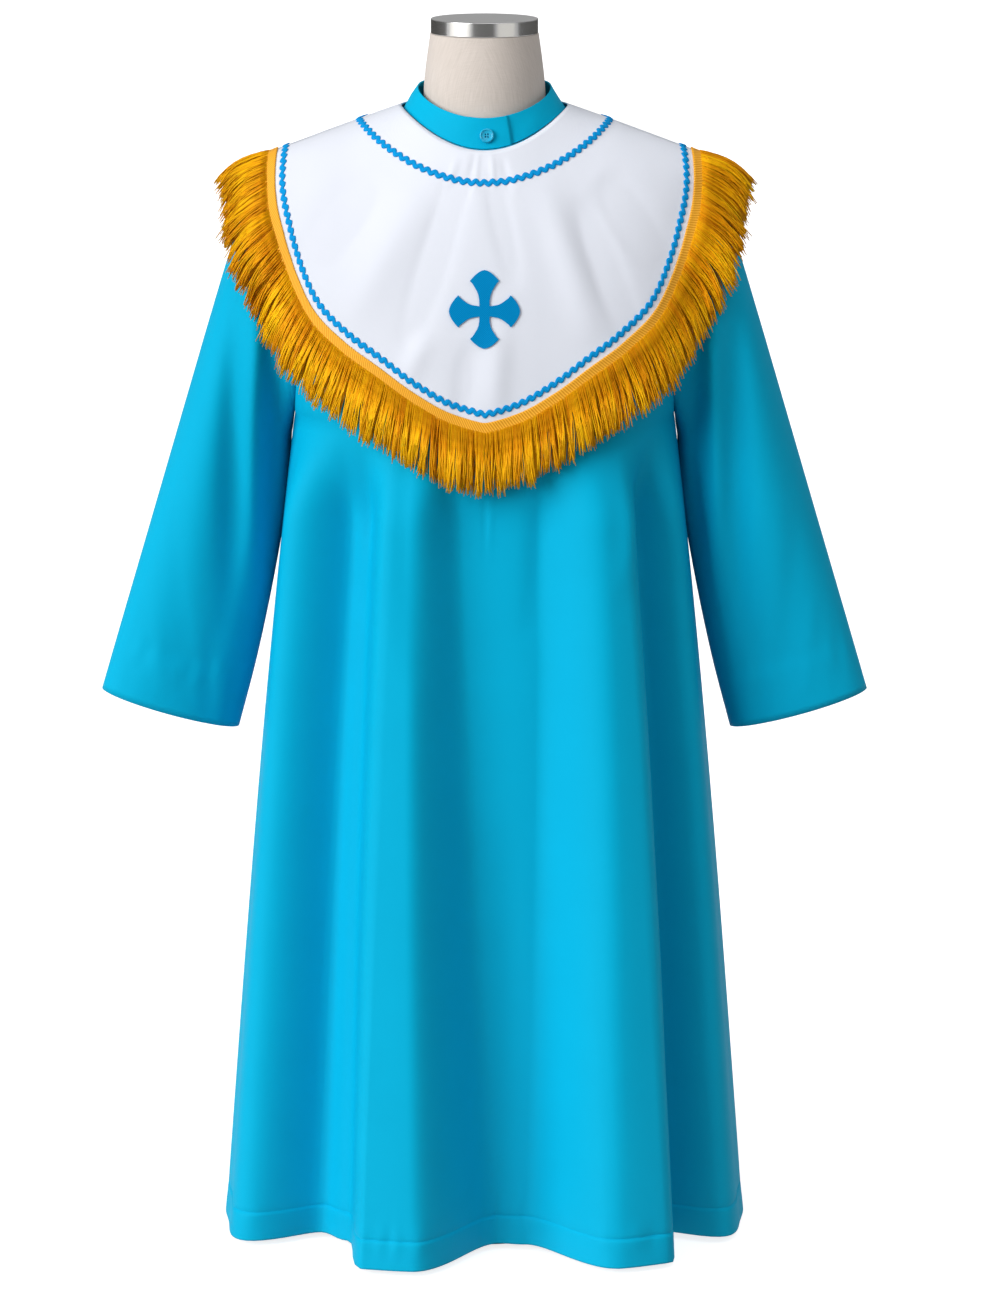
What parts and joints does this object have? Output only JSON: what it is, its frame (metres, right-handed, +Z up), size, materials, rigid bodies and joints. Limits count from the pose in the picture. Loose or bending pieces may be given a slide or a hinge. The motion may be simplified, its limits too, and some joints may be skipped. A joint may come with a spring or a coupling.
{
  "type": "altar server robe on a limbless dress form",
  "caption": "Child's turquoise altar server robe under a white shoulder cape with zigzag braid, a cross and gold fringe, worn by a limbless dress form on a hidden stand.",
  "frame": {"origin": "on the floor, in the middle of the flat underside of the dress form's round base", "axes": "+Z up along the form's pole, +Y towards the back of the robe, +X to the right of a viewer who faces the front of the robe"},
  "size_m": [0.7434, 0.3733, 1.1818],
  "materials": {
    "robe_cloth": "plain-woven polyester, soft sheen",
    "cape_cloth": "plain-woven polyester, matte",
    "zigzag_braid": "woven ric-rac, matte",
    "cross_cloth": "satin-stitched applique, soft sheen",
    "fringe_yarn": "twisted rayon yarn, silky",
    "button": "polished resin",
    "form_cover": "tightly drawn linen, matte",
    "neck_cap": "polished rim, brushed top",
    "pole": "polished",
    "base": "satin powder coat"
  },
  "bodies": {
    "root": {"robe_front": "robe_cloth", "robe_back": "robe_cloth", "sleeve_left": "robe_cloth", "sleeve_right": "robe_cloth", "collar_band": "robe_cloth", "collar_button": "button", "cape_front": "cape_cloth", "cape_back": "cape_cloth", "neck_braid_front": "zigzag_braid", "neck_braid_back": "zigzag_braid", "edge_braid_front": "zigzag_braid", "edge_braid_back": "zigzag_braid", "fringe_front": "fringe_yarn", "fringe_back": "fringe_yarn", "cross_applique": "cross_cloth", "form_body": "form_cover", "form_neck_cap": "neck_cap", "form_pole": "pole", "form_base": "base"}
  },
  "joints": []
}
